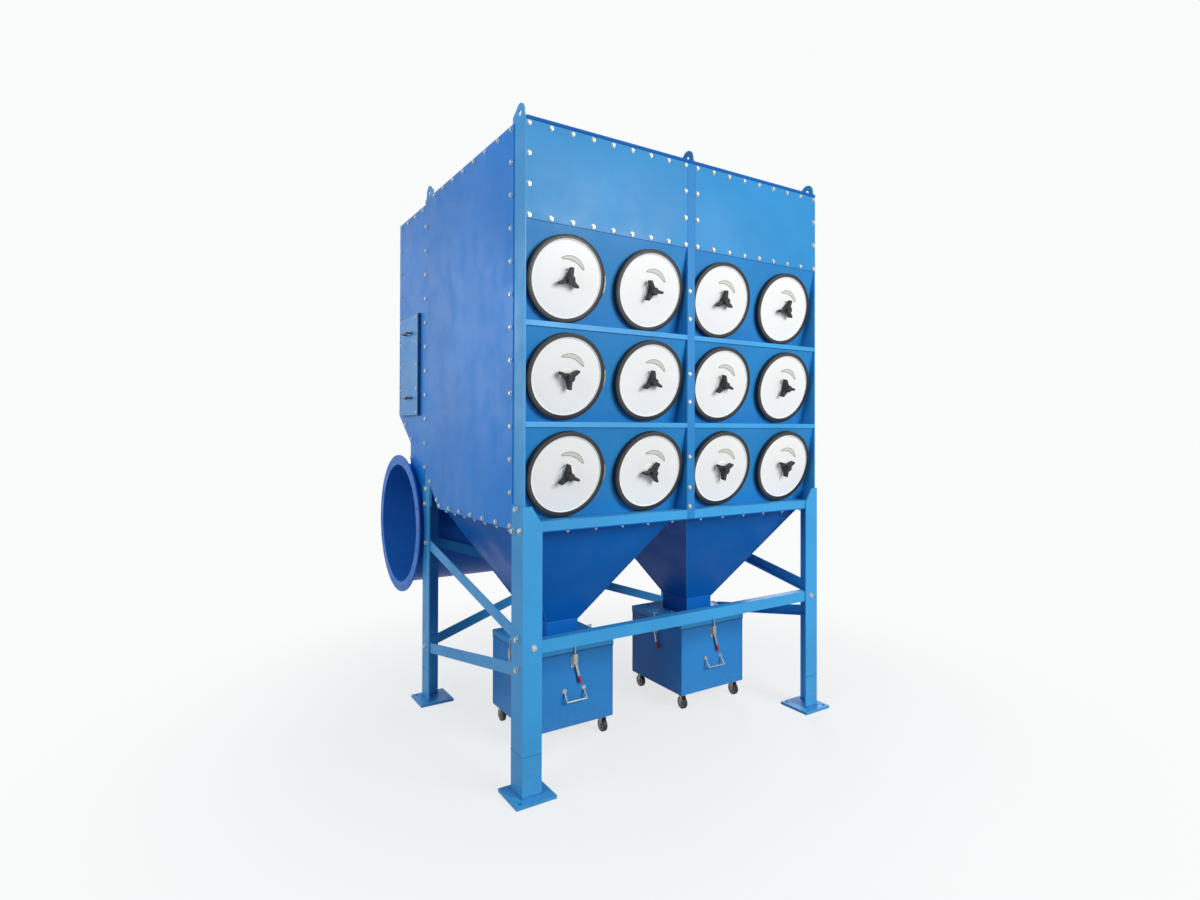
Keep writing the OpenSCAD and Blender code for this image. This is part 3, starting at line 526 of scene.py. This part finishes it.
# roof: rows along its edges, clear of the middle lugs, and along the plenum's
edge_x = 0.955
plenum_z = ROOF_Z - PLENUM_DROP
row = span(-edge_x, edge_x, BOLT_PITCH)
at = [((x, y, ROOF_Z), UP) for x in row for y in (-0.700, 0.700) if abs(x) > 0.05]
at += [((x, y, ROOF_Z), UP) for y in span(-0.54, 0.54, 0.180) for x in (-edge_x, edge_x)]
at += [((x, y, plenum_z), UP) for x in row for y in (0.765, 1.270)]
at += [((x, y, plenum_z), UP) for y in span(0.93, 1.11, 0.160) for x in (-edge_x, edge_x)]
bolts("bolts_roof", at)

# back wall
z0, z1 = wall_lo.z + 0.028, wall_hi.z - 0.028
at = [((x, wall_hi.y, z), BACK) for x in span(-0.950, 0.950, 0.158) for z in (z0, z1)]
at += [((x, wall_hi.y, z), BACK) for z in span(z0, z1, 0.158)[1:-1] for x in (-0.950, 0.0, 0.950)]
bolts("bolts_back_wall", at)

# blank end of the duct
at = []
flange_t, bolt_r = 0.008, 0.433
for i in range(20):
    a = 2 * math.pi * i / 20
    y, z = duct_y + bolt_r * math.sin(a), duct_z + bolt_r * math.cos(a)
    at += [((blank_hi.x, y, z), RIGHT), ((blank_lo.x - flange_t, y, z), LEFT)]
bolts("bolts_blank_end", at, size=0.95)

# legs, rail and braces: larger bolts
at = []
for s in (-1, 1):
    for y, z in ((-0.661, 1.337), (-0.625, 1.232), (-0.705, 1.241), (0.661, 1.337), (0.690, 1.241),
                 (-0.672, 0.731), (0.672, 0.998), (-0.672, 0.588), (0.672, 0.345)):
        at.append(((s * LEG_X, y, z), (s, 0, 0)))
    at.append(((s * 0.943, -LEG_Y, 0.697), FRONT))
    for z in (0.355, 1.000):
        at.append(((s * 0.950, LEG_Y, z), BACK))
bolts("bolts_legs", at, size=1.25)
bolts("bolt_cross_braces", [((0, 0.7147, 0.6775), FRONT), ((0, 0.727, 0.6775), BACK)], size=1.2, nut=True)

# ---------------------------------------------------------------- welds, seams and painted shade strips

# outside and inside of each leg's angle on its base plate, and a step line above it
leg_t, plate_z, splice_z = 0.0095, 0.0165, 0.203
lines, steps = [], []
for s in (-1, 1):
    for e in (-1, 1):
        x0, y0 = s * LEG_X, e * LEG_Y
        x_end, y_end = x0 - s * 0.100, y0 - e * 0.125
        for d in (0.002, -leg_t):
            x, y = x0 + s * d, y0 + e * d
            lines.append([(x_end, y, plate_z), (x, y, plate_z), (x, y_end, plate_z)])
        steps.append([(x_end, y0, splice_z), (x0, y0, splice_z), (x0, y_end, splice_z)])
welds("welds_base_plates", lines, r=0.005)
welds("leg_splice_lines", steps, r=0.0018, ripple=0.03, step=0.03)

# hopper corners, collars and lids
lines = []
collar_z = 0.634
top = [(-0.45, -0.625), (0.45, -0.625), (0.45, 0.455), (-0.45, 0.455)]
bot = [(x, OUTLET_Y + y) for x, y in ((-0.10, -0.125), (0.10, -0.125), (0.10, 0.125), (-0.10, 0.125))]
for s in (-1, 1):
    cx = s * HOPPER_X
    for (tx, ty), (bx, by) in zip(top, bot):
        lines.append([(cx + tx, ty, 1.229), (cx + bx, by, collar_z)])
    for z in (collar_z, lid_hi.z + 0.001):
        ring = [(cx + bx, by, z) for bx, by in bot]
        lines.append(ring + ring[:1])
welds("welds_hoppers", lines, r=0.0035)



def on_duct(x, r, a):
    return (x, duct_y + r * math.cos(a), duct_z + r * math.sin(a))


# duct: flange welds and a longitudinal seam
lines = []
for s in (-1, 1):
    x = s * (duct_hi.x - 0.002)
    lines.append([on_duct(x, duct_r + 0.001, 2 * math.pi * i / 72) for i in range(73)])
lines.append([on_duct(x, duct_r, math.radians(-70)) for x in (-1.02, 1.02)])
welds("welds_duct", lines, r=0.0042, step=0.012)

# sheet joints: neck on the duct, slope corners
lines = []
for s in (-1, 1):
    turns = [math.radians(107 + (178 - 107) * i / 24) for i in range(25)]
    lines.append([on_duct(s * 0.9925, duct_r + 0.002, a) for a in turns])
lines.append([(-0.99, 1.0292, 1.4565), (0.99, 1.0292, 1.4565)])
lines.append([(-0.985, 1.0295, 1.6215), (0.985, 1.0295, 1.6215)])
welds("welds_neck", lines, r=0.0035, step=0.012)

# dark strips beside the upper panels and under the roof's lip: painted shade for the gaps and the shadow line
# there
bm = bmesh.new()
for s in (-1, 1):
    for xa, xb, ya, yb, za, zb in (
        (0.0253, 0.0277, 0.0005, 0.0040, up_lo.z, up_hi.z),
        (UPPER_X + 0.0002, UPPER_X + 0.0012, 0.0006, 0.0040, up_lo.z, up_hi.z),
        (0.0270, UPPER_X, 0.0008, 0.0035, up_hi.z - 0.0002, up_hi.z + 0.0003),
    ):
        x = sorted((s * xa, s * xb))
        block(bm, (x[0], front_y + ya, za), (x[1], front_y + yb, zb))
add("painted_shade_strips", bm, m_shade_strip)

# ---------------------------------------------------------------- round covers

centres = [(x, z) for z in ROWS for x in COLUMNS]


def on_cover(cx, cz):
    """Frame of a cover: X to the right, Y up the leaning plate, Z out of it."""
    return Matrix.Translation((cx, recess_y, cz)) @ Matrix.Rotation(math.pi / 2 + TILT, 4, "X")


# thin crescent plate above each knob, greyer than the cover and with a darker edge: painted shade of the upper
# wall of the cover's dished middle
bm, edges = bmesh.new(), bmesh.new()
seg = 30
a0, a1 = math.radians(18), math.radians(126)
r_o = 0.084
for cx, cz in centres:
    m = on_cover(cx, cz) @ Matrix.Translation((0.010, 0.030, DISC_H))
    rows, outer, inner = [], [], []
    for k in range(seg + 1):
        u = k / seg
        a = a0 + (a1 - a0) * u
        r_i = r_o - 0.003 - 0.018 * math.sin(math.pi * u) ** 0.6
        profile = ((r_o, 0.0), (r_o - 0.0006, 0.0016), (r_i + 0.0006, 0.0016), (r_i, 0.0))
        rows.append([bm.verts.new(m @ polar(r, a, h)) for r, h in profile])
        outer.append(m @ polar(r_o, a, 0.0010))
        inner.append(m @ polar(r_i, a, 0.0010))
    for a, b in zip(rows, rows[1:]):
        for i in range(3):
            bm.faces.new([a[i], a[i + 1], b[i + 1], b[i]])
    bm.faces.new(rows[0])
    bm.faces.new(rows[-1][::-1])
    loop = outer + inner[::-1]
    bead(edges, loop + loop[:1], r=0.0017, ripple=0.0, step=0.02)
bmesh.ops.recalc_face_normals(bm, faces=bm.faces)
add("cover_painted_shade_crescents", bm, m_crescent_shade, smooth_deg=40)
add("cover_painted_shade_crescent_edges", edges, m_crescent_shade_edge, smooth_deg=50)

# raised bead on each rubber ring
bm = bmesh.new()
for cx, cz in centres:
    lathe(bm, [(0.2045, 0.0292), (0.2060, 0.0318), (0.2095, 0.0318), (0.2115, 0.0296)], 72, on_cover(cx, cz),
          flip=True)
add("gasket_beads", bm, m_gasket, smooth_deg=50)

# lens-shaped tab with a metal middle on the rubber ring of each left-hand cover
tabs, plates = bmesh.new(), bmesh.new()
tab_r, tab_deg, plate_deg = RING_R + 0.0003, 29, 11
for cx, cz in centres[::len(COLUMNS)]:
    m = on_cover(cx, cz)
    for target, limit, depth in ((tabs, tab_deg, 0.0075), (plates, plate_deg, 0.0090)):
        rows = []
        for k in range(25):
            deg = limit * (2 * k / 24 - 1)
            r_o = 0.2140 + 0.0190 * math.cos(math.radians(deg / tab_deg * 90)) ** 0.7
            profile = ((tab_r, 0.0), (tab_r, depth), (r_o, depth), (r_o, 0.0))
            rows.append([target.verts.new(m @ polar(r, math.radians(deg), h)) for r, h in profile])
        for a, b in zip(rows, rows[1:]):
            for i in range(4):
                j = (i + 1) % 4
                target.faces.new([a[i], a[j], b[j], b[i]])
        target.faces.new(rows[0][::-1])
        target.faces.new(rows[-1])
for target in (tabs, plates):
    bmesh.ops.recalc_face_normals(target, faces=target.faces)
add("gasket_tabs", tabs, m_gasket, smooth_deg=40)
add("gasket_tab_plates", plates, m_caster, smooth_deg=40)

# cap plug at each knob's hub
for i, (cx, cz) in enumerate(centres):
    name = "knob_%d_%d" % (i // len(COLUMNS) + 1, i % len(COLUMNS) + 1)
    bm = bmesh.new()
    m = on_cover(cx, cz) @ Matrix.Translation((0, 0, KNOB_H))
    lathe(bm, [(0.0165, 0.0), (0.0165, 0.0022), (0.0150, 0.0034), (0.0060, 0.0038), (0.0, 0.0038)], 28, m,
          flip=True)
    add("cap_" + name, bm, m_knob, body=name, smooth_deg=35)

# ---------------------------------------------------------------- access cover

# dark strip round it, painted shade for the gap round the cover; screws and the handles' feet
bm = bmesh.new()
gap_shade_w = 0.0035
x = acc_lo.x
gap_shade_x = x + 0.004
for z in (acc_lo.z - gap_shade_w, acc_hi.z):
    block(bm, (gap_shade_x, acc_lo.y - gap_shade_w, z), (acc_hi.x, acc_hi.y + gap_shade_w, z + gap_shade_w))
for y in (acc_lo.y - gap_shade_w, acc_hi.y):
    block(bm, (gap_shade_x, y, acc_lo.z), (acc_hi.x, y + gap_shade_w, acc_hi.z))
add("access_cover_gap_shade", bm, m_shade_strip)
bm = bmesh.new()
for z in span(acc_lo.z + 0.02, acc_hi.z - 0.02, 0.155):
    for y in (acc_lo.y + 0.018, acc_hi.y - 0.018):
        hex_bolt(bm, Vector((x, y, z)), LEFT, 0.62)
add("access_cover_screws", bm, m_zinc, smooth_deg=28)
bm = bmesh.new()
for z in (1.920, 2.350):
    for y in (0.9535, 1.0735):
        m = Matrix.Translation((x, y, z)) @ basis(LEFT)
        lathe(bm, [(0.013, 0), (0.013, 0.002), (0.009, 0.0045), (0.0052, 0.006)], 24, m, flip=True)
add("access_handle_feet", bm, m_handle, smooth_deg=40)

# ---------------------------------------------------------------- bins

BIN_X, BIN_Y = 0.25, 0.261  # middle of a bin to its sides, and to its front and back
CLAW_OUT = 0.013  # how far a latch's lever stands off the bin
GRIP = [(0.0, -0.1255), (0.0065, -0.1245), (0.0092, -0.119), (0.0097, -0.108), (0.0088, -0.097),
        (0.0078, -0.088), (0.0066, -0.084)]
for tag, s in (("left", -1), ("right", 1)):
    body = "bin_" + tag
    middle = Vector((s * HOPPER_X, OUTLET_Y, 0))

    # latches: red grips, rivets and pivot heads
    grips, metal = bmesh.new(), bmesh.new()
    for half, rot in ((BIN_Y, 0.0), (BIN_X, math.pi / 2), (BIN_X, -math.pi / 2)):
        face = Matrix.Translation(middle) @ Matrix.Rotation(rot, 4, "Z") @ Matrix.Translation((0, -half, 0))
        lever = face @ Matrix.Translation((0, -CLAW_OUT, 0.445)) @ Matrix.Rotation(math.radians(-16), 4, "Y")
        lathe(grips, GRIP, 18, lever)
        for z in (0.426, 0.472):
            for x in (-0.013, 0.013):
                m = face @ Matrix.Translation((x, -0.004, z)) @ Matrix.Rotation(math.pi / 2, 4, "X")
                lathe(metal, [(0.0042, 0), (0.0040, 0.0014), (0.0028, 0.0026), (0, 0.0030)], 12, m, flip=True)
        m = face @ Matrix.Translation((0.013, -CLAW_OUT + 0.003, 0.470)) @ Matrix.Rotation(math.pi / 2, 4, "Y")
        lathe(metal, [(0.0, 0.0), (0.0058, 0.0), (0.0058, 0.004), (0.0045, 0.0052), (0, 0.0056)], 14, m)
    add("latch_grips_" + tag, grips, m_red, body, smooth_deg=50)
    add("latch_rivets_" + tag, metal, m_latch, body, smooth_deg=40)

    # corner welds
    lines = []
    for dx in (-BIN_X, BIN_X):
        for dy in (-BIN_Y, BIN_Y):
            x, y = middle.x + dx, middle.y + dy
            lines.append([(x, y, 0.098), (x, y, bin_rim - 0.006)])
    welds("welds_bin_" + tag, lines, r=0.0022, body=body, ripple=0.1)

    # casters: swivel housings, plate bolts and axle nuts, and the wheels' hubs and rims
    bm = bmesh.new()
    hubs = {"front": bmesh.new(), "rear": bmesh.new()}
    for dx in (-0.21, 0.21):
        for end, dy in (("front", -0.221), ("rear", 0.221)):
            top = middle + Vector((dx, dy, 0.090))
            m = Matrix.Translation(top) @ basis(DOWN)
            lathe(bm, [(0.0225, 0), (0.0225, 0.004), (0.0195, 0.0085), (0.0150, 0.0090), (0.0, 0.0090)], 28, m,
                  flip=True)
            for px in (-0.024, 0.024):
                for py in (-0.020, 0.020):
                    hex_bolt(bm, top + Vector((px, py, 0)), DOWN, 0.30)
            for sx in (-1, 1):
                hex_bolt(bm, Vector((top.x + sx * 0.0165, top.y, WHEEL_R)), (sx, 0, 0), 0.55)
                m = Matrix.Translation((top.x + sx * 0.0119, top.y, WHEEL_R)) @ basis((sx, 0, 0))
                for seg, profile in (
                    (24, [(0.0120, 0.0), (0.0120, 0.0006), (0.0050, 0.0007)]),
                    (32, [(0.0260, 0.0001), (0.0250, 0.0007), (0.0225, 0.0007), (0.0215, 0.0001)]),
                ):
                    lathe(hubs[end], profile, seg, m, flip=True)
    add("caster_housings_" + tag, bm, m_caster, body, smooth_deg=35)
    for end in ("front", "rear"):
        wheels = "wheels_%s_%s" % (end, tag)
        add("wheel_hubs_%s_%s" % (end, tag), hubs[end], m_caster, wheels, smooth_deg=40)

# seal under each fixed lid's skirt
bm = bmesh.new()
o, d, w = 0.2535, 0.2645, 0.0055
for s in (-1, 1):
    cx = s * HOPPER_X
    for xa, ya, xb, yb in (
        (-o, -d, o, w - d), (-o, d - w, o, d),
        (-o, w - d, w - o, d - w), (o - w, w - d, o, d - w),
    ):
        block(bm, (cx + xa, OUTLET_Y + ya, lid_lo.z - 0.0028), (cx + xb, OUTLET_Y + yb, lid_lo.z + 0.0002))
add("lid_seals", bm, m_gasket)

# bolts round each outlet's collar
at = []
for s in (-1, 1):
    around = [(x, y) for x in (-0.125, 0.125) for y in (-0.10, 0.0, 0.10)]
    around += [(x, y) for y in (-0.15, 0.15) for x in (-0.07, 0.07)]
    at += [((s * HOPPER_X + x, OUTLET_Y + y, lid_hi.z), UP) for x, y in around]
bolts("bolts_lids", at, size=0.7)

# ---------------------------------------------------------------- stage

WHITE = (0.955, 0.965, 0.965, 1)


def seen(nt):
    """Is Camera Ray, and 1 for camera, glossy and transmission rays, which show the backdrop as it is."""
    path = nt.nodes.new("ShaderNodeLightPath")
    out = path.outputs["Is Camera Ray"]
    for kind in ("Is Glossy Ray", "Is Transmission Ray"):
        n = nt.nodes.new("ShaderNodeMath")
        n.operation = "MAXIMUM"
        nt.links.new(out, n.inputs[0])
        nt.links.new(path.outputs[kind], n.inputs[1])
        out = n.outputs[0]
    return path.outputs["Is Camera Ray"], out


def blend(nt, factor, a, b, target):
    n = nt.nodes.new("ShaderNodeMixShader")
    for socket, v in zip(n.inputs, (factor, a, b)):
        nt.links.new(v, socket)
    nt.links.new(n.outputs[0], target)


# pale floor that keeps the shadow near the object and fades into the backdrop
t = Tree("floor")
t.set(Roughness=0.9, Specular_IOR_Level=0.1)
dist = t.node("ShaderNodeVectorMath", {"operation": "LENGTH"})
t.put(dist.inputs[0], t.coord)
glow = t.node("ShaderNodeEmission", Strength=1.0)
glow.inputs[0].default_value = WHITE
by_camera, by_any = seen(t.nt)
t.set(Base_Color=t.mix(by_camera, (0.33, 0.34, 0.35, 1), (0.92, 0.93, 0.93, 1)))
far = t.ramp(dist.outputs["Value"], 1.2, 3.2, 0.76, 1.0)
blend(t.nt, t.math("MULTIPLY", far, by_any), t.bsdf.outputs[0], glow.outputs[0], t.out.inputs[0])
bm = bmesh.new()
bmesh.ops.create_circle(bm, cap_ends=True, segments=96, radius=60)
me = bpy.data.meshes.new("floor")
bm.to_mesh(me)
bm.free()
me.materials.append(t.mat)
floor = bpy.data.objects.new("floor", me)
floor.location.z = -0.0005
scene.collection.objects.link(floor)

world = bpy.data.worlds.new("studio")
scene.world = world
world.use_nodes = True
wt = world.node_tree
wt.nodes.clear()


def background(color, strength):
    n = wt.nodes.new("ShaderNodeBackground")
    n.inputs[0].default_value = color
    n.inputs[1].default_value = strength
    return n.outputs[0]


out = wt.nodes.new("ShaderNodeOutputWorld")
blend(wt, seen(wt)[1], background((0.93, 0.96, 1.0, 1), 0.21), background(WHITE, 1.0), out.inputs[0])


def area(name, loc, target, size, power, color=(1, 1, 1)):
    d = bpy.data.lights.new(name, "AREA")
    d.shape = "RECTANGLE"
    d.size, d.size_y = size
    d.energy = power
    d.color = color
    o = bpy.data.objects.new(name, d)
    scene.collection.objects.link(o)
    o.location = loc
    o.rotation_euler = (Vector(target) - Vector(loc)).to_track_quat("-Z", "Y").to_euler()


area("key", (1.6, -6.2, 3.4), (-0.2, 0.0, 1.7), (3.4, 2.6), 292)
area("fill", (-5.2, -1.4, 3.6), (-0.6, 0.2, 1.6), (3.0, 3.0), 98, (0.70, 0.88, 1.0))
area("side", (-4.6, 5.6, 3.0), (-0.8, 0.4, 1.8), (2.6, 2.6), 60, (0.78, 0.9, 1.0))
area("back", (4.8, 4.6, 4.2), (0.2, 0.6, 1.6), (3.0, 3.0), 160)

scene.view_settings.view_transform = "Standard"
